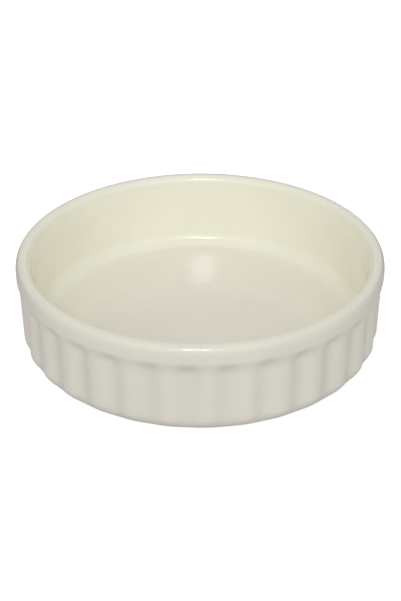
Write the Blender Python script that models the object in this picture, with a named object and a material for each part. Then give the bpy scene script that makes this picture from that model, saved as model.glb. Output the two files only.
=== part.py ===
"""A round fluted creme brulee dish, pressed and fired as one piece of glazed ceramic.

The origin is the centre of the foot's underside and +Z points up out of the bowl.
All sizes are in metres and all angles in degrees.
"""

import math

import bmesh
import bpy
import numpy as np

# Rim: a lip with a narrow level top, which rounds off to both sides, above a plain band
OUTER_DIAMETER = 0.120
HEIGHT = 0.0302
LIP_OUTER_WIDTH = 0.0018
LIP_OUTER_DROP = 0.0032
LIP_FLAT = 0.0008
LIP_INNER_WIDTH = 0.0023
LIP_INNER_DROP = 0.0030
BAND_HEIGHT = 0.0051

# Outer wall below the band
BAND_STEP = 0.00065
WALL_TAPER = 0.0001
BOTTOM_WIDTH = 0.0040
BOTTOM_HEIGHT = 0.0050

# Flutes: an even wave that grows out of the band and fades over the rounded bottom
FLUTE_COUNT = 32
FLUTE_DEPTH = 0.00105
FLUTE_HEAD_LENGTH = 0.0056
FLUTE_END_FADE = 3.0
FIRST_FLUTE_ANGLE = -3.65

# Bowl
INNER_TAPER = 0.0011
COVE_RADIUS = 0.0054
FLOOR_THICKNESS = 0.0030

# Foot ring
FOOT_WIDTH = 0.0038
FOOT_RECESS = 0.0009
FOOT_INNER_SLOPE = 0.0015

# Facets. A flute has an even number of columns, so that one runs down its middle and one down the ridge.
COLUMNS_PER_FLUTE = 8
LIP_STEPS = 3
BOTTOM_STEPS = 5
COVE_STEPS = 4
HEAD_STATIONS = (0.0, 0.15, 0.35, 0.65, 1.0)
SAME_PLACE = 0.00002

# Glaze
GLAZE_COLOUR = (0.69, 0.66, 0.56, 1.0)
GLAZE_ROUGHNESS = 0.15

OUTER_RADIUS = OUTER_DIAMETER / 2
CREST_OUTER_RADIUS = OUTER_RADIUS - LIP_OUTER_WIDTH
CREST_INNER_RADIUS = CREST_OUTER_RADIUS - LIP_FLAT
BAND_BOTTOM = HEIGHT - BAND_HEIGHT
WALL_BOTTOM_RADIUS = OUTER_RADIUS - BAND_STEP - WALL_TAPER
FOOT_RADIUS = WALL_BOTTOM_RADIUS - BOTTOM_WIDTH
FOOT_INNER_RADIUS = FOOT_RADIUS - FOOT_WIDTH
FLOOR_TOP = FOOT_RECESS + FLOOR_THICKNESS
MOUTH_RADIUS = CREST_INNER_RADIUS - LIP_INNER_WIDTH
MOUTH_HEIGHT = HEIGHT - LIP_INNER_DROP
COVE_TOP = FLOOR_TOP + COVE_RADIUS
COVE_TOP_RADIUS = MOUTH_RADIUS - INNER_TAPER
FLOOR_RADIUS = COVE_TOP_RADIUS - COVE_RADIUS
PITCH = 360 / FLUTE_COUNT


def clear_scene():
    """Remove whatever the scene holds."""
    for old in list(bpy.data.objects):
        bpy.data.objects.remove(old)


def arc(centre, width, height, start, end, steps):
    """Points of an elliptical arc in the (radius, height) plane, its angles counted from outwards to up."""
    angles = np.radians(np.linspace(start, end, steps + 1))
    return [(centre[0] + width * math.cos(a), centre[1] + height * math.sin(a)) for a in angles]


def head_share(height):
    """How much of its full depth the wave has here: 0 at the foot of the band, 1 below its head."""
    down = min(max((BAND_BOTTOM - height) / FLUTE_HEAD_LENGTH, 0.0), 1.0)
    return 1 - (1 - down) ** 3 * (1 + 3 * down)


def bottom_share(height):
    """How much of its width the rounded bottom has here: 0 on the table, 1 where the wall starts."""
    below_wall = max(1 - height / BOTTOM_HEIGHT, 0.0)
    return math.sqrt(1 - below_wall**2)


def wall_radius(height):
    """Radius of the ridges, which is the outer wall before the flutes are pressed into it."""
    if height < BOTTOM_HEIGHT:
        return FOOT_RADIUS + BOTTOM_WIDTH * bottom_share(height)
    down = (BAND_BOTTOM - height) / (BAND_BOTTOM - BOTTOM_HEIGHT)
    return OUTER_RADIUS - BAND_STEP * head_share(height) - WALL_TAPER * down


def flute_depth(angle, height):
    """How far the wall is pressed in at this angle and height."""
    hollow = (1 + math.cos(math.tau * (angle - FIRST_FLUTE_ANGLE) / PITCH)) / 2
    fade = bottom_share(height) ** FLUTE_END_FADE
    return FLUTE_DEPTH * hollow * head_share(height) * fade


def rim_profile():
    """From the mouth over the lip to the top of the band."""
    inside = (CREST_INNER_RADIUS, MOUTH_HEIGHT)
    outside = (CREST_OUTER_RADIUS, HEIGHT - LIP_OUTER_DROP)
    inner_lip = arc(inside, LIP_INNER_WIDTH, LIP_INNER_DROP, 180, 90, LIP_STEPS)
    outer_lip = arc(outside, LIP_OUTER_WIDTH, LIP_OUTER_DROP, 90, 0, LIP_STEPS)
    return inner_lip + outer_lip


def wall_profile():
    """From the foot of the band down the ridges to the outer edge of the foot."""
    head = [BAND_BOTTOM - FLUTE_HEAD_LENGTH * share for share in HEAD_STATIONS]
    turns = np.radians(np.linspace(0, 90, BOTTOM_STEPS + 1))
    rounding = [BOTTOM_HEIGHT * (1 - math.sin(a)) for a in turns]
    return [(wall_radius(height), height) for height in head + rounding]


def bowl_profile():
    """From the middle of the floor to the top of the cove, where the bowl's wall starts."""
    centre = (FLOOR_RADIUS, COVE_TOP)
    return [(0.0, FLOOR_TOP)] + arc(centre, COVE_RADIUS, COVE_RADIUS, -90, 0, COVE_STEPS)


def underside_profile():
    """From the inner edge of the foot into the recess and to its middle."""
    recess_radius = FOOT_INNER_RADIUS - FOOT_INNER_SLOPE
    return [(FOOT_INNER_RADIUS, 0.0), (recess_radius, FOOT_RECESS), (0.0, FOOT_RECESS)]


def turn(shell, profile, columns):
    """Spin a profile once round the axis and return its new vertices."""
    before = set(shell.verts)
    start = math.radians(FIRST_FLUTE_ANGLE - 90)
    points = [
        shell.verts.new((radius * math.cos(start), radius * math.sin(start), height))
        for radius, height in profile
    ]
    edges = [shell.edges.new(pair) for pair in zip(points, points[1:])]
    bmesh.ops.spin(
        shell,
        geom=points + edges,
        cent=(0, 0, 0),
        axis=(0, 0, 1),
        angle=math.tau,
        steps=columns,
        use_merge=True,
    )
    made = [vertex for vertex in shell.verts if vertex not in before]
    on_axis = [vertex for vertex in made if vertex.co.xy.length < SAME_PLACE]
    bmesh.ops.remove_doubles(shell, verts=on_axis, dist=SAME_PLACE)
    return [vertex for vertex in made if vertex.is_valid]


def press_flutes(vertices):
    """Move the wall in where the flutes are hollow."""
    for vertex in vertices:
        x, y, height = vertex.co
        angle = math.degrees(math.atan2(x, -y))
        vertex.co.xy *= 1 - flute_depth(angle, height) / math.hypot(x, y)


def ring_edges(shell, radius, height):
    """The open edges of a shell that lie at this radius and height."""
    def on_ring(vertex):
        off_radius = abs(vertex.co.xy.length - radius)
        off_height = abs(vertex.co.z - height)
        return max(off_radius, off_height) < SAME_PLACE

    return [edge for edge in shell.edges if edge.is_boundary and all(map(on_ring, edge.verts))]


def join(shell, first, second):
    """Close the gap between two open rings, each given as its (radius, height)."""
    bmesh.ops.bridge_loops(shell, edges=ring_edges(shell, *first) + ring_edges(shell, *second))


def glaze():
    """Cream glaze over the whole dish."""
    material = bpy.data.materials.new("glaze")
    material.use_nodes = True
    shader = material.node_tree.nodes["Principled BSDF"]
    shader.inputs["Base Color"].default_value = GLAZE_COLOUR
    shader.inputs["Roughness"].default_value = GLAZE_ROUGHNESS
    shader.inputs["Metallic"].default_value = 0.0
    return material


def make_dish():
    """The fluted outside, the plain bowl and the underside, turned and then joined into one body."""
    fluted_columns = FLUTE_COUNT * COLUMNS_PER_FLUTE
    plain_columns = fluted_columns // 2
    rim = rim_profile()
    wall = wall_profile()
    bowl = bowl_profile()
    underside = underside_profile()

    shell = bmesh.new()
    turn(shell, bowl, plain_columns)
    turn(shell, underside, plain_columns)
    outside = turn(shell, rim + wall, fluted_columns)
    press_flutes([vertex for vertex in outside if vertex.co.z < BAND_BOTTOM - SAME_PLACE])
    join(shell, bowl[-1], rim[0])
    join(shell, wall[-1], underside[0])
    bmesh.ops.recalc_face_normals(shell, faces=shell.faces)

    mesh = bpy.data.meshes.new("dish")
    shell.to_mesh(mesh)
    shell.free()
    mesh.shade_smooth()
    mesh.set_sharp_from_angle(angle=math.radians(40))
    mesh.materials.append(glaze())
    dish = bpy.data.objects.new("dish", mesh)
    bpy.context.scene.collection.objects.link(dish)
    return dish


def main():
    clear_scene()
    make_dish()


if __name__ == "__main__":
    main()
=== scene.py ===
"""A round fluted creme brulee dish in cream glaze, standing on a plain white floor.

Lengths are in metres. The dish stands with its foot on Z = 0 and opens towards +Z, as its
CAD body does, and the side that faces the camera is -Y.
"""

import math

import bmesh
import bpy
from bpy.props import FloatProperty, FloatVectorProperty, IntProperty, PointerProperty
from bpy.types import Operator, Panel, PropertyGroup
from mathutils import Matrix, Vector


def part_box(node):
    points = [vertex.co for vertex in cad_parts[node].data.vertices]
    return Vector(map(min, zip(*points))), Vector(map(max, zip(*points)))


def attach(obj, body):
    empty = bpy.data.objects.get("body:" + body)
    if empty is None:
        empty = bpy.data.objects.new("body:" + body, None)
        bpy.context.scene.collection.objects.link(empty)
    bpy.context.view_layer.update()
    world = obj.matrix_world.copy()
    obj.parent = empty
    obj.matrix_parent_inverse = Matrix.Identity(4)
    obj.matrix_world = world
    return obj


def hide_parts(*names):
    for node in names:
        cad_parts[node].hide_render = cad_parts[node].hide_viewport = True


bl_info = {
    "name": "Fluted Creme Brulee Dish",
    "version": (1, 0, 0),
    "blender": (4, 5, 0),
    "location": "3D View > Sidebar > Dish",
    "description": "Makes a glazed fluted dish and the white studio stage it stands on",
    "category": "Add Mesh",
}

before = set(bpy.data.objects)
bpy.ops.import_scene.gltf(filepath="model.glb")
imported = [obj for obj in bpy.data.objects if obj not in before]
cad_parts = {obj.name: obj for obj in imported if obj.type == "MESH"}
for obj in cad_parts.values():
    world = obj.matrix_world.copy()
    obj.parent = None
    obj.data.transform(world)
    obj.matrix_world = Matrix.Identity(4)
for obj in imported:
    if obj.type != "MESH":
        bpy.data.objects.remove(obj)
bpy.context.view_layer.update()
DISH_HEIGHT = round(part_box("dish")[1].z, 5)

# Zones of the turned surface, in the order in which the profile passes through them
BOWL_FLOOR, COVE, BOWL_WALL, LIP, BAND, WALL, FOOT, UNDERSIDE = range(8)

# Faces along each stretch of the profile
FLOOR_STEPS = 8
COVE_STEPS = 14
BOWL_WALL_STEPS = 16
LIP_INNER_STEPS = 14
LIP_OUTER_STEPS = 10
BAND_STEPS = 4
HEAD_STEPS = 20
RIDGE_STEPS = 6
BOTTOM_STEPS = 24
FOOT_SLOPE_STEPS = 8
RECESS_STEPS = 6

# Points this close are one point, and a point this low touches the table
MERGE_DISTANCE = 0.000001
FOOT_CONTACT = 0.00002

# Tone of the glaze from place to place: 0 is the thin glaze, 0.5 the usual one and 1 the thick one.
# Low tones are also painted shade, in the channels and on the lip's top
USUAL_TONE = 0.5
FLOOR_TONE = 0.45
COVE_TONE = 1.0
BOWL_WALL_TONE = 0.9
BAND_TONE = 0.62
LIP_EDGE_TONE = 0.6
# Painted shade: the channels are painted darker towards their middles, as shade in the hollows
CHANNEL_PAINTED_SHADE = 0.3

# Where the tone changes, in shares of the cove's height or of the lip's drop or inner width
COVE_TONE_RISE = 0.13
COVE_MIDDLE = 0.5
# The lip is painted darker towards its top: thin glaze there, and painted shade on the
# upward-facing top
LIP_THIN_AND_SHADED_FROM = 0.5
LIP_THIN_AND_SHADED_OVER = 0.3
LIP_INNER_LEAD = 0.225
LIP_INNER_RISE = 0.5

# Glaze. A pattern's scale is about how many of its spots go to a metre
GLAZE_IOR = 1.52
CLAY_ROUGHNESS = 0.75
CLOUD_SCALE = 45.0
CLOUD_DETAIL = 3.0
CLOUD_ROUGHNESS = 0.55
CLOUD_LOW = 0.3
CLOUD_HIGH = 0.7
GLOSSIEST = 0.8
DULLEST = 1.25
PIMPLE_SCALE = 320.0
PIMPLE_DETAIL = 2.0
PIMPLE_ROUGHNESS = 0.5
PIMPLE_HEIGHT = 0.0005

# Stage
FLOOR_SIDES = 128
KEY_TARGET = (0, 0, 0.015)
FLOOR_LAMP_SIZE = 3.0
FLOOR_LAMP_PLACE = (0, 0.01, 2.5)
SENSOR_WIDTH = 36.0
NEAREST_SEEN = 0.01

# Rise of the surrounding light: 0 is straight down, 0.5 level with the dish and 1 straight up
TABLE_RISE = 0.2
LOW_RISE = 0.375
HORIZON_RISE = 0.525
RING_RISE = 0.625
RING_TOP_RISE = 0.725
HIGH_RISE = 0.85
FRONT_TOP_RISE = 0.825
FRONT_END_RISE = 0.925

# How narrowly the front light gathers behind the camera
FRONT_FOCUS = 4.0

# Sockets that share a name on their node: those of a mix node, and a maths node's second number
MIX_FACTOR = 0
NUMBER_A = 2
NUMBER_B = 3
COLOUR_A = 6
COLOUR_B = 7
MIXED_NUMBER = 0
MIXED_COLOUR = 2
SECOND_NUMBER = 1

BLACK = (0.0, 0.0, 0.0, 1.0)
WHITE = (1.0, 1.0, 1.0, 1.0)


def length(name, default, description):
    """A length that shows in the units of the scene."""
    return FloatProperty(
        name=name,
        description=description,
        default=default,
        min=0.0,
        precision=5,
        subtype="DISTANCE",
        unit="LENGTH",
    )


def turn(name, default, description):
    """An angle, given here in degrees."""
    return FloatProperty(
        name=name,
        description=description,
        default=math.radians(default),
        subtype="ANGLE",
        unit="ROTATION",
    )


def colour(name, default, description):
    """A colour, given in linear light."""
    return FloatVectorProperty(
        name=name,
        description=description,
        default=default,
        min=0.0,
        max=1.0,
        size=3,
        subtype="COLOR",
    )


def power(name, default, description):
    """The power of a lamp."""
    return FloatProperty(
        name=name, description=description, default=default, min=0.0, unit="POWER"
    )


def share(name, default, description, top=1.0):
    """A plain number from 0 up to top."""
    return FloatProperty(
        name=name,
        description=description,
        default=default,
        min=0.0,
        max=top,
        subtype="FACTOR",
    )


class DishSizes(PropertyGroup):
    """The turned shape of the dish."""

    outer_diameter: length("Outer diameter", 0.120, "Across the rim band at its widest")
    height: length("Height", DISH_HEIGHT, "From the foot to the top of the lip")
    lip_outer_width: length("Lip outer width", 0.0018, "From the crest of the lip out to the band")
    lip_outer_drop: length("Lip outer drop", 0.0032, "How far the lip falls before the band starts")
    lip_flat: length("Lip flat", 0.0008, "Width of the level top of the lip")
    lip_inner_width: length("Lip inner width", 0.0023, "From the lip's level top in to the mouth")
    lip_inner_drop: length("Lip inner drop", 0.0030, "How far the lip rounds down into the bowl")
    band_height: length("Band height", 0.0051, "From the lip's top down to the end of the band")
    band_step: length("Band step", 0.00065, "From the band in to the ridges")
    wall_taper: length("Wall taper", 0.0001, "How far the ridges lean in towards the bottom")
    bottom_width: length("Bottom width", 0.0041, "How far the bottom rounding draws in to the foot")
    bottom_height: length("Bottom height", 0.0044, "Height at which the bottom rounding starts")
    inner_flare: length("Inner flare", 0.0004, "How far the bowl's wall curves out to the mouth")
    flare_height: length("Flare height", 0.0040, "Height over which the bowl's wall curves out")
    inner_taper: length("Inner taper", 0.0012, "How much narrower the bowl is at its cove")
    cove_width: length("Cove width", 0.0054, "From the bowl's wall in to its flat floor")
    cove_height: length("Cove height", 0.0062, "From the bowl's floor up to its straight wall")
    floor_height: length("Floor height", 0.0039, "Height of the bowl's floor above the table")
    foot_width: length("Foot width", 0.0038, "Width of the flat ring the dish stands on")
    foot_recess: length("Foot recess", 0.0009, "How far the underside is raised inside the foot")
    foot_inner_slope: length("Foot inner slope", 0.0015, "Width of the slope inside the foot")


class FluteSizes(PropertyGroup):
    """The hollow channels round the wall."""

    count: IntProperty(name="Flutes", description="Channels round the wall", default=32, min=3)
    columns: IntProperty(
        name="Columns per flute", description="Faces across one channel", default=24, min=4
    )
    depth: length("Depth", 0.00130, "How far a channel is pressed into the wall")
    narrowness: share("Narrowness", 1.25, "1 for an even wave; more for narrower channels", 4.0)
    head_length: length("Head length", 0.0056, "Height over which the wave grows out of the band")
    end_fade: share("End fade", 4.0, "How early a channel runs out over the bottom rounding", 8.0)
    first_angle: turn("First flute", -3.65, "Angle of a channel's middle from the front")


class GlazeLook(PropertyGroup):
    """Colour and gloss of the glaze, of the bare clay under the foot, and of the painted shade up
    the bottom rounding.
    """

    # The thin colour is also the painted shade in the channels and on the lip's top
    thin: colour("Thin glaze", (0.832, 0.798, 0.688), "Over the lip, where the glaze is thinnest")
    body: colour("Glaze", (0.876, 0.827, 0.717), "Where the glaze is as thick as usual")
    thick: colour("Thick glaze", (0.902, 0.884, 0.739), "In the cove, where the glaze is thickest")
    # The clay colour is also the colour that the painted shade on the bottom rounding darkens
    # towards
    clay: colour("Bare clay", (0.58, 0.545, 0.47), "The wiped ring that the dish stands on")
    # Painted shade: the bottom rounding is painted darker towards the table, mixing in the clay
    # colour
    bottom_shade_height: length("Wipe height", 0.0046, "Height up to which the glaze is wiped thin")
    bottom_shade: share("Wipe", 0.8, "How much clay shows through the glaze at the very bottom")
    roughness: share("Roughness", 0.06, "Roughness of the glaze")
    mottling: share("Mottling", 0.02, "How much the glaze's lightness varies")
    peel: share("Orange peel", 0.02, "Strength of the fine unevenness of the glaze")


class StageLook(PropertyGroup):
    """Floor, light and camera."""

    floor_radius: length("Floor radius", 1.0, "Radius of the white floor")
    floor_colour: colour("Floor", (0.9, 0.9, 0.9), "Colour of the floor")
    overhead: colour("Overhead light", (0.62, 0.62, 0.62), "Soft light from straight above")
    high: colour("High light", (0.43, 0.43, 0.43), "Soft light from high up all round")
    ring: colour("Ring light", (0.65, 0.65, 0.65), "Soft light from a little above the horizon")
    horizon: colour("Horizon light", (0.15, 0.15, 0.15), "Soft light from level with the dish")
    low: colour("Low light", (0.20, 0.20, 0.20), "Soft light from the far end of the table")
    table: colour("Table light", (0.60, 0.60, 0.60), "Soft light from the table round the dish")
    front: share("Front light", 1.36, "Strength of the wide soft light behind the camera", 10.0)
    key_energy: power("Key light", 2.9, "Power of the lamp on the camera's side")
    halo_energy: power("Key halo", 0.6, "Power of the fainter light round the key light")
    key_colour: colour("Key colour", (0.90, 0.95, 1.0), "Colour of the key light and of its halo")
    key_distance: length("Key distance", 1.2, "From the dish to the key light")
    key_width: length("Key width", 0.28, "Width of the key light")
    halo_width: length("Halo width", 0.52, "Width of the fainter light round the key light")
    key_depth: length("Key depth", 0.064, "Height of the key light and of its halo")
    key_elevation: turn("Key elevation", 39.2, "How high the key light stands")
    key_azimuth: turn("Key azimuth", -2.2, "How far the key light stands to the camera's right")
    floor_energy: power("Floor light", 60.0, "Power of the lamp that whitens the floor")
    camera_elevation: turn("Camera elevation", 31.01, "How far the camera looks down")
    camera_distance: length("Camera distance", 0.372, "From the camera to the point it looks at")
    camera_height: length("Look height", 0.01014, "Height of the point the camera looks at")
    camera_roll: turn("Camera roll", -0.195, "Turn of the camera about its own line of sight")
    camera_side: FloatProperty(
        name="Camera side",
        description="How far the camera stands to the right",
        default=0.0001,
        precision=5,
        subtype="DISTANCE",
        unit="LENGTH",
    )
    camera_lens: FloatProperty(
        name="Lens", description="Focal length of the camera", default=66.295, unit="CAMERA"
    )


def smooth(value):
    """0 below 0, 1 above 1, and an even rise in between."""
    value = min(max(value, 0.0), 1.0)
    return value * value * (3 - 2 * value)


def spread(first, last, steps):
    """Evenly spaced numbers from first to last, both included."""
    return [first + (last - first) * step / steps for step in range(steps + 1)]


def arc(centre, width, height, first, last, steps):
    """Points (radius, height) of an elliptical arc, its angles in degrees from outwards to up."""
    angles = [math.radians(angle) for angle in spread(first, last, steps)]
    return [(centre[0] + width * math.cos(a), centre[1] + height * math.sin(a)) for a in angles]


class DishShape:
    """Works out radii and depths of the dish from its sizes."""

    def __init__(self, sizes, flutes):
        self.sizes = sizes
        self.flutes = flutes
        self.outer = sizes.outer_diameter / 2
        self.crest = self.outer - sizes.lip_outer_width
        self.band_bottom = sizes.height - sizes.band_height
        self.wall_bottom = self.outer - sizes.band_step - sizes.wall_taper
        self.foot_radius = self.wall_bottom - sizes.bottom_width
        self.foot_inner = self.foot_radius - sizes.foot_width
        self.flat_inner = self.crest - sizes.lip_flat
        self.mouth = self.flat_inner - sizes.lip_inner_width
        self.mouth_height = sizes.height - sizes.lip_inner_drop
        self.cove_top = sizes.floor_height + sizes.cove_height
        self.cove_radius = self.mouth - sizes.inner_taper - sizes.inner_flare
        self.floor_radius = self.cove_radius - sizes.cove_width
        self.pitch = math.tau / flutes.count

    def head_share(self, height):
        """How far the wall has drawn in below the band: steep at first, then easing off."""
        down = min(max((self.band_bottom - height) / self.flutes.head_length, 0.0), 1.0)
        return 1 - (1 - down) ** 3 * (1 + 3 * down)

    def wall_radius(self, height):
        """Radius of the ridges at this height."""
        sizes = self.sizes
        if height < sizes.bottom_height:
            return self.foot_radius + sizes.bottom_width * self.bottom_share(height)
        down = (self.band_bottom - height) / (self.band_bottom - sizes.bottom_height)
        return self.outer - sizes.band_step * self.head_share(height) - sizes.wall_taper * down

    def bowl_radius(self, height):
        """Radius of the bowl's wall: an even taper, with a curve out to the mouth."""
        sizes = self.sizes
        up = (height - self.cove_top) / (self.mouth_height - self.cove_top)
        curve = max(1 - (self.mouth_height - height) / sizes.flare_height, 0.0)
        return self.cove_radius + sizes.inner_taper * up + sizes.inner_flare * curve**2

    def bottom_share(self, height):
        """How far the bottom rounding stands out: 0 at the table, 1 where the wall starts."""
        up = min(height / self.sizes.bottom_height, 1.0)
        return math.sqrt(max(1 - (1 - up) ** 2, 0.0))

    def pressed(self, offset, height):
        """How far the wave presses the wall in at this angle from the middle of a channel."""
        wave = (1 + math.cos(math.tau * offset / self.pitch)) / 2
        hollow = wave**self.flutes.narrowness
        end = self.bottom_share(height) ** self.flutes.end_fade
        return self.flutes.depth * hollow * self.head_share(height) * end

    def profile(self):
        """The half section, from the middle of the bowl's floor to the middle of the underside."""
        sizes = self.sizes
        flutes = self.flutes
        cove_centre = (self.floor_radius, self.cove_top)
        inner_lip_centre = (self.flat_inner, self.mouth_height)
        outer_lip_centre = (self.crest, sizes.height - sizes.lip_outer_drop)
        floor_radii = spread(0.0, self.floor_radius, FLOOR_STEPS)
        floor = [(radius, sizes.floor_height) for radius in floor_radii]
        cove = arc(cove_centre, sizes.cove_width, sizes.cove_height, -90, 0, COVE_STEPS)
        bowl_heights = spread(self.cove_top, self.mouth_height, BOWL_WALL_STEPS)
        bowl_wall = [(self.bowl_radius(height), height) for height in bowl_heights]
        inner_lip = arc(
            inner_lip_centre, sizes.lip_inner_width, sizes.lip_inner_drop, 180, 90, LIP_INNER_STEPS
        )
        outer_lip = arc(
            outer_lip_centre, sizes.lip_outer_width, sizes.lip_outer_drop, 90, 0, LIP_OUTER_STEPS
        )
        band_heights = spread(outer_lip_centre[1], self.band_bottom, BAND_STEPS)
        band = [(self.outer, height) for height in band_heights]

        heads = spread(self.band_bottom, self.band_bottom - flutes.head_length, HEAD_STEPS)
        ridges = spread(heads[-1], sizes.bottom_height, RIDGE_STEPS)
        turns = [math.radians(angle) for angle in spread(0, 90, BOTTOM_STEPS)]
        roundings = [sizes.bottom_height * (1 - math.sin(angle)) for angle in turns]
        wall_heights = heads + ridges[1:] + roundings[1:]
        wall = [(self.wall_radius(height), height) for height in wall_heights]

        recess_edge = self.foot_inner - sizes.foot_inner_slope
        foot = [(self.foot_inner, 0.0)]
        slope = [
            (self.foot_inner - sizes.foot_inner_slope * part, sizes.foot_recess * smooth(part))
            for part in spread(0.0, 1.0, FOOT_SLOPE_STEPS)
        ]
        recess_radii = spread(recess_edge, 0.0, RECESS_STEPS)
        underside = [(radius, sizes.foot_recess) for radius in recess_radii]

        sections = (
            (BOWL_FLOOR, floor),
            (COVE, cove[1:]),
            (BOWL_WALL, bowl_wall[1:]),
            (LIP, inner_lip[1:] + outer_lip[1:]),
            (BAND, band[1:]),
            (WALL, wall[1:]),
            (FOOT, foot),
            (UNDERSIDE, slope[1:] + underside[1:]),
        )
        return [(zone, point) for zone, points in sections for point in points]


def press_flute(shape, vertex):
    """Move a vertex of the wall in where the wave hollows it. Returns its share of the depth."""
    x, y, height = vertex.co
    angle = math.atan2(x, -y)
    pressed = shape.pressed(angle - shape.flutes.first_angle, height)
    radius = math.hypot(x, y) - pressed
    vertex.co = (radius * math.sin(angle), -radius * math.cos(angle), height)
    return pressed / shape.flutes.depth


def glaze_and_shade_tone(zone, share_pressed, radius, height, shape):
    """How thick the glaze lies: 0 where it is thinnest, 0.5 as usual, 1 where it is thickest. Low
    tones also stand for painted shade in the channels and on the lip's top.
    """
    sizes = shape.sizes
    if zone == BOWL_WALL:
        return BOWL_WALL_TONE
    if zone == BOWL_FLOOR:
        return FLOOR_TONE
    if zone == COVE:
        up = (height - sizes.floor_height) / sizes.cove_height
        gain = (COVE_TONE - FLOOR_TONE) * smooth(up / COVE_TONE_RISE)
        loss = (COVE_TONE - BOWL_WALL_TONE) * smooth((up - COVE_MIDDLE) / (1 - COVE_MIDDLE))
        return FLOOR_TONE + gain - loss
    # The lip's top is painted darker: thin glaze, and painted shade where it faces up
    if zone == LIP and radius > shape.crest:
        up = 1 - (sizes.height - height) / sizes.lip_outer_drop
        return LIP_EDGE_TONE * (1 - smooth((up - LIP_THIN_AND_SHADED_FROM) / LIP_THIN_AND_SHADED_OVER))
    if zone == LIP:
        inward = (shape.flat_inner - radius) / sizes.lip_inner_width
        return smooth((inward + LIP_INNER_LEAD) / LIP_INNER_RISE)
    if zone == BAND:
        return BAND_TONE
    if zone == WALL:
        # Painted shade: darker towards each channel's middle
        return USUAL_TONE - CHANNEL_PAINTED_SHADE * share_pressed
    return USUAL_TONE


def clay_and_shade_share(zone, height, look):
    """How much clay colour is mixed in: all of it on the bare foot, and, as painted shade, ever
    less up the bottom rounding.
    """
    if zone == FOOT or height < FOOT_CONTACT:
        return 1.0
    if zone == WALL:
        # Painted shade: darker towards the bottom of the rounding
        return look.bottom_shade * max(1 - height / look.bottom_shade_height, 0.0)
    return 0.0


def turn_dish(shape, look):
    """Spin the profile through one flute, press it, repeat it all round and close the body."""
    body = bmesh.new()
    zone_layer = body.verts.layers.int.new("zone")
    tone_layer = body.verts.layers.float.new("glaze_and_shade_tone")
    clay_and_shade_layer = body.verts.layers.float.new("clay_and_bottom_shade")
    count = shape.flutes.count
    start = shape.flutes.first_angle - shape.pitch / 2
    points = []
    for zone, (radius, height) in shape.profile():
        point = body.verts.new((radius * math.sin(start), -radius * math.cos(start), height))
        point[zone_layer] = zone
        points.append(point)
    edges = [body.edges.new(pair) for pair in zip(points, points[1:])]
    round_axis = {"cent": (0, 0, 0), "axis": (0, 0, 1)}
    bmesh.ops.spin(
        body, geom=points + edges, angle=shape.pitch, steps=shape.flutes.columns, **round_axis
    )
    for vertex in body.verts:
        zone = vertex[zone_layer]
        pressed = press_flute(shape, vertex) if zone == WALL else 0.0
        radius = vertex.co.xy.length
        vertex[tone_layer] = glaze_and_shade_tone(zone, pressed, radius, vertex.co.z, shape)
        vertex[clay_and_shade_layer] = clay_and_shade_share(zone, vertex.co.z, look)
    one_flute = body.verts[:] + body.edges[:] + body.faces[:]
    bmesh.ops.spin(
        body,
        geom=one_flute,
        angle=math.tau - shape.pitch,
        steps=count - 1,
        use_duplicate=True,
        **round_axis,
    )
    bmesh.ops.remove_doubles(body, verts=body.verts, dist=MERGE_DISTANCE)
    body.verts.layers.int.remove(zone_layer)
    bmesh.ops.recalc_face_normals(body, faces=body.faces)
    return body


def add_node(tree, kind, place, inputs=(), **settings):
    """A shader node with its settings and its unlinked inputs filled in."""
    node = tree.nodes.new(kind)
    node.location = place
    for name, value in settings.items():
        setattr(node, name, value)
    for name, value in dict(inputs).items():
        node.inputs[name].default_value = value
    return node


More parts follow.
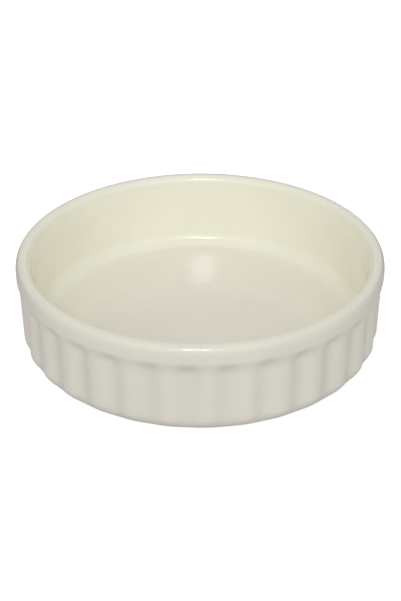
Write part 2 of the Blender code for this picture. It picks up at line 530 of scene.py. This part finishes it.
def glaze_material(look):
    """Cream glaze, a little darker where it is thin, with painted shade in the channels, on the
    lip's top and up the bottom rounding, and wiped off the foot.
    """
    material = bpy.data.materials.new("cream_glaze")
    material.use_nodes = True
    tree = material.node_tree
    link = tree.links.new
    shader = tree.nodes["Principled BSDF"]
    shader.inputs["IOR"].default_value = GLAZE_IOR

    place = add_node(tree, "ShaderNodeTexCoord", (-1400, 0)).outputs["Object"]
    tone = add_node(tree, "ShaderNodeAttribute", (-1400, 400), attribute_name="glaze_and_shade_tone")
    clay_and_shade = add_node(tree, "ShaderNodeAttribute", (-1400, 700), attribute_name="clay_and_bottom_shade")

    clouds = add_node(
        tree,
        "ShaderNodeTexNoise",
        (-1150, 150),
        {"Scale": CLOUD_SCALE, "Detail": CLOUD_DETAIL, "Roughness": CLOUD_ROUGHNESS},
    )
    link(place, clouds.inputs["Vector"])

    tint = add_node(tree, "ShaderNodeValToRGB", (-900, 450))
    stops = tint.color_ramp.elements
    stops[0].position = 0.0
    stops[0].color = (*look.thin, 1.0)
    stops[1].position = 1.0
    stops[1].color = (*look.thick, 1.0)
    middle = stops.new(USUAL_TONE)
    middle.color = (*look.body, 1.0)
    link(tone.outputs["Fac"], tint.inputs["Fac"])

    lightness = add_node(
        tree,
        "ShaderNodeMapRange",
        (-900, 150),
        {
            "From Min": CLOUD_LOW,
            "From Max": CLOUD_HIGH,
            "To Min": 1 - look.mottling,
            "To Max": 1 + look.mottling,
        },
    )
    link(clouds.outputs["Fac"], lightness.inputs["Value"])
    mottled = add_node(
        tree,
        "ShaderNodeMix",
        (-600, 350),
        {MIX_FACTOR: 1.0},
        data_type="RGBA",
        blend_type="MULTIPLY",
    )
    link(tint.outputs["Color"], mottled.inputs[COLOUR_A])
    link(lightness.outputs["Result"], mottled.inputs[COLOUR_B])

    # Mixes in the clay colour: bare clay on the foot, and painted shade up the bottom rounding
    coloured = add_node(
        tree, "ShaderNodeMix", (-350, 450), {COLOUR_B: (*look.clay, 1.0)}, data_type="RGBA"
    )
    link(clay_and_shade.outputs["Fac"], coloured.inputs[MIX_FACTOR])
    link(mottled.outputs[MIXED_COLOUR], coloured.inputs[COLOUR_A])
    link(coloured.outputs[MIXED_COLOUR], shader.inputs["Base Color"])

    gloss = add_node(
        tree,
        "ShaderNodeMapRange",
        (-600, 50),
        {
            "From Min": CLOUD_LOW,
            "From Max": CLOUD_HIGH,
            "To Min": look.roughness * GLOSSIEST,
            "To Max": look.roughness * DULLEST,
        },
    )
    link(clouds.outputs["Fac"], gloss.inputs["Value"])
    matt = add_node(
        tree, "ShaderNodeMix", (-350, 100), {NUMBER_B: CLAY_ROUGHNESS}, data_type="FLOAT"
    )
    link(clay_and_shade.outputs["Fac"], matt.inputs[MIX_FACTOR])
    link(gloss.outputs["Result"], matt.inputs[NUMBER_A])
    link(matt.outputs[MIXED_NUMBER], shader.inputs["Roughness"])

    pimples = add_node(
        tree,
        "ShaderNodeTexNoise",
        (-900, -250),
        {"Scale": PIMPLE_SCALE, "Detail": PIMPLE_DETAIL, "Roughness": PIMPLE_ROUGHNESS},
    )
    link(place, pimples.inputs["Vector"])
    relief = add_node(
        tree, "ShaderNodeBump", (-350, -250), {"Strength": look.peel, "Distance": PIMPLE_HEIGHT}
    )
    link(pimples.outputs["Fac"], relief.inputs["Height"])
    link(relief.outputs["Normal"], shader.inputs["Normal"])
    return material


class DISH_OT_body(Operator):
    """Turn the dish, press its flutes and glaze it"""

    bl_idname = "dish.make_body"
    bl_label = "Make the dish"
    bl_options = {"REGISTER", "UNDO"}

    def execute(self, context):
        scene = context.scene
        shape = DishShape(scene.dish_sizes, scene.dish_flutes)
        body = turn_dish(shape, scene.dish_glaze)
        mesh = bpy.data.meshes.new("fluted_dish")
        body.to_mesh(mesh)
        body.free()
        mesh.shade_smooth()
        mesh.materials.append(glaze_material(scene.dish_glaze))
        dish = bpy.data.objects.new("fluted_dish", mesh)
        scene.collection.objects.link(dish)
        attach(dish, "root")
        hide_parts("dish")
        return {"FINISHED"}


def make_floor(scene, look):
    """A white disc that only the camera sees, so that it throws no light up at the dish."""
    disc = bmesh.new()
    bmesh.ops.create_circle(
        disc, cap_ends=True, segments=FLOOR_SIDES, radius=look.floor_radius
    )
    mesh = bpy.data.meshes.new("studio_floor")
    disc.to_mesh(mesh)
    disc.free()
    material = bpy.data.materials.new("white_sweep")
    material.use_nodes = True
    shader = material.node_tree.nodes["Principled BSDF"]
    shader.inputs["Base Color"].default_value = (*look.floor_colour, 1.0)
    shader.inputs["Roughness"].default_value = 1.0
    shader.inputs["Specular IOR Level"].default_value = 0.0
    mesh.materials.append(material)
    floor = bpy.data.objects.new("studio_floor", mesh)
    scene.collection.objects.link(floor)
    floor.visible_diffuse = False
    floor.visible_glossy = False
    floor.visible_transmission = False
    floor.visible_shadow = False
    return floor


def aim(thing, place, target, roll=0.0):
    """Put a lamp or camera at a place and point it at a target."""
    facing = (Vector(target) - Vector(place)).to_track_quat("-Z", "Y").to_matrix().to_4x4()
    thing.matrix_world = Matrix.Translation(place) @ facing @ Matrix.Rotation(roll, 4, "Z")


def add_lamp(scene, name, width, depth, energy):
    """A flat oblong lamp."""
    lamp = bpy.data.lights.new(name, "AREA")
    lamp.shape = "RECTANGLE"
    lamp.size = width
    lamp.size_y = depth
    lamp.energy = energy
    holder = bpy.data.objects.new(name, lamp)
    scene.collection.objects.link(holder)
    return holder


def make_lights(scene, look, floor):
    """A key light with soft ends on the camera's side, and a lamp for nothing but the floor."""
    key = add_lamp(scene, "key_light", look.key_width, look.key_depth, look.key_energy)
    halo = add_lamp(scene, "key_halo", look.halo_width, look.key_depth, look.halo_energy)
    flat = look.key_distance * math.cos(look.key_elevation)
    up = look.key_distance * math.sin(look.key_elevation)
    place = (flat * math.sin(look.key_azimuth), -flat * math.cos(look.key_azimuth), up)
    for panel in (key, halo):
        panel.data.color = look.key_colour
        aim(panel, place, KEY_TARGET)

    wash = add_lamp(scene, "floor_light", FLOOR_LAMP_SIZE, FLOOR_LAMP_SIZE, look.floor_energy)
    aim(wash, FLOOR_LAMP_PLACE, (0, 0, 0))
    floor_only = bpy.data.collections.new("lit_by_floor_light")
    floor_only.objects.link(floor)
    wash.light_linking.receiver_collection = floor_only
    wash.light_linking.blocker_collection = floor_only
    wash.visible_glossy = False


def make_surround(scene, look):
    """Soft light from all round, strongest behind the camera. The camera sees it as plain white."""
    world = bpy.data.worlds.new("studio_surround")
    scene.world = world
    world.use_nodes = True
    tree = world.node_tree
    link = tree.links.new
    background = tree.nodes["Background"]
    direction = add_node(tree, "ShaderNodeTexCoord", (-1000, 0)).outputs["Generated"]
    split = add_node(tree, "ShaderNodeSeparateXYZ", (-800, 0))
    link(direction, split.inputs["Vector"])
    rise = add_node(tree, "ShaderNodeMapRange", (-600, 0), {"From Min": -1.0, "From Max": 1.0})
    link(split.outputs["Z"], rise.inputs["Value"])
    sky = add_node(tree, "ShaderNodeValToRGB", (-400, 0))
    stops = sky.color_ramp.elements
    stops[0].position = TABLE_RISE
    stops[0].color = (*look.table, 1.0)
    stops[1].position = 1.0
    stops[1].color = (*look.overhead, 1.0)
    between = (
        (LOW_RISE, look.low),
        (HORIZON_RISE, look.horizon),
        (RING_RISE, look.ring),
        (RING_TOP_RISE, look.ring),
        (HIGH_RISE, look.high),
    )
    for position, light in between:
        stops.new(position).color = (*light, 1.0)
    link(rise.outputs["Result"], sky.inputs["Fac"])

    belt = add_node(tree, "ShaderNodeValToRGB", (-400, -300))
    edges = belt.color_ramp.elements
    edges[0].position = RING_RISE
    edges[0].color = BLACK
    edges[1].position = FRONT_END_RISE
    edges[1].color = BLACK
    for position in (RING_TOP_RISE, FRONT_TOP_RISE):
        edges.new(position).color = WHITE
    link(rise.outputs["Result"], belt.inputs["Fac"])
    nearness = add_node(
        tree, "ShaderNodeMapRange", (-600, -300), {"From Min": 1.0, "From Max": -1.0}
    )
    link(split.outputs["Y"], nearness.inputs["Value"])
    forward = add_node(
        tree, "ShaderNodeMath", (-400, -500), {SECOND_NUMBER: FRONT_FOCUS}, operation="POWER"
    )
    link(nearness.outputs["Result"], forward.inputs[0])
    strength = add_node(
        tree, "ShaderNodeMath", (-250, -500), {SECOND_NUMBER: look.front}, operation="MULTIPLY"
    )
    link(forward.outputs["Value"], strength.inputs[0])
    glow = add_node(tree, "ShaderNodeVectorMath", (-250, -300), operation="SCALE")
    link(belt.outputs["Color"], glow.inputs[0])
    link(strength.outputs["Value"], glow.inputs["Scale"])
    total = add_node(tree, "ShaderNodeVectorMath", (-250, -100), operation="ADD")
    link(sky.outputs["Color"], total.inputs[0])
    link(glow.outputs["Vector"], total.inputs[1])
    seen = add_node(tree, "ShaderNodeLightPath", (-400, 300)).outputs["Is Camera Ray"]
    choice = add_node(tree, "ShaderNodeMix", (-100, 0), {COLOUR_B: WHITE}, data_type="RGBA")
    link(seen, choice.inputs[MIX_FACTOR])
    link(total.outputs["Vector"], choice.inputs[COLOUR_A])
    link(choice.outputs[MIXED_COLOUR], background.inputs["Color"])


def make_camera(scene, look):
    """The camera, placed as it stood for the photograph."""
    lens = bpy.data.cameras.new("camera")
    lens.lens = look.camera_lens
    lens.sensor_width = SENSOR_WIDTH
    lens.clip_start = NEAREST_SEEN
    camera = bpy.data.objects.new("camera", lens)
    scene.collection.objects.link(camera)
    flat = look.camera_distance * math.cos(look.camera_elevation)
    up = look.camera_distance * math.sin(look.camera_elevation)
    place = (look.camera_side, -flat, look.camera_height + up)
    aim(camera, place, (look.camera_side, 0, look.camera_height), look.camera_roll)
    scene.camera = camera


class DISH_OT_stage(Operator):
    """Set up the white floor, the studio light and the camera"""

    bl_idname = "dish.make_stage"
    bl_label = "Make the stage"
    bl_options = {"REGISTER", "UNDO"}

    def execute(self, context):
        scene = context.scene
        look = scene.dish_stage
        floor = make_floor(scene, look)
        make_lights(scene, look, floor)
        make_surround(scene, look)
        make_camera(scene, look)
        scene.view_settings.view_transform = "Standard"
        return {"FINISHED"}


class DISH_PT_sidebar(Panel):
    """Sizes, finish and stage of the dish"""

    bl_idname = "DISH_PT_sidebar"
    bl_label = "Fluted dish"
    bl_space_type = "VIEW_3D"
    bl_region_type = "UI"
    bl_category = "Dish"

    def draw(self, context):
        for operator, groups in MAKING_ORDER:
            self.layout.operator(operator)
            for group in groups:
                settings = getattr(context.scene, group)
                for name in settings.bl_rna.properties.keys():
                    if name not in ("name", "rna_type"):
                        self.layout.prop(settings, name)


GROUPS = {
    "dish_sizes": DishSizes,
    "dish_flutes": FluteSizes,
    "dish_glaze": GlazeLook,
    "dish_stage": StageLook,
}
MAKING_ORDER = (
    ("dish.make_body", ("dish_sizes", "dish_flutes", "dish_glaze")),
    ("dish.make_stage", ("dish_stage",)),
)
CLASSES = (*GROUPS.values(), DISH_OT_body, DISH_OT_stage, DISH_PT_sidebar)


def register():
    for item in CLASSES:
        bpy.utils.register_class(item)
    for name, group in GROUPS.items():
        setattr(bpy.types.Scene, name, PointerProperty(type=group))


def unregister():
    for name in GROUPS:
        delattr(bpy.types.Scene, name)
    for item in reversed(CLASSES):
        bpy.utils.unregister_class(item)


def main():
    register()
    bpy.ops.dish.make_body()
    bpy.ops.dish.make_stage()


if __name__ == "__main__":
    main()
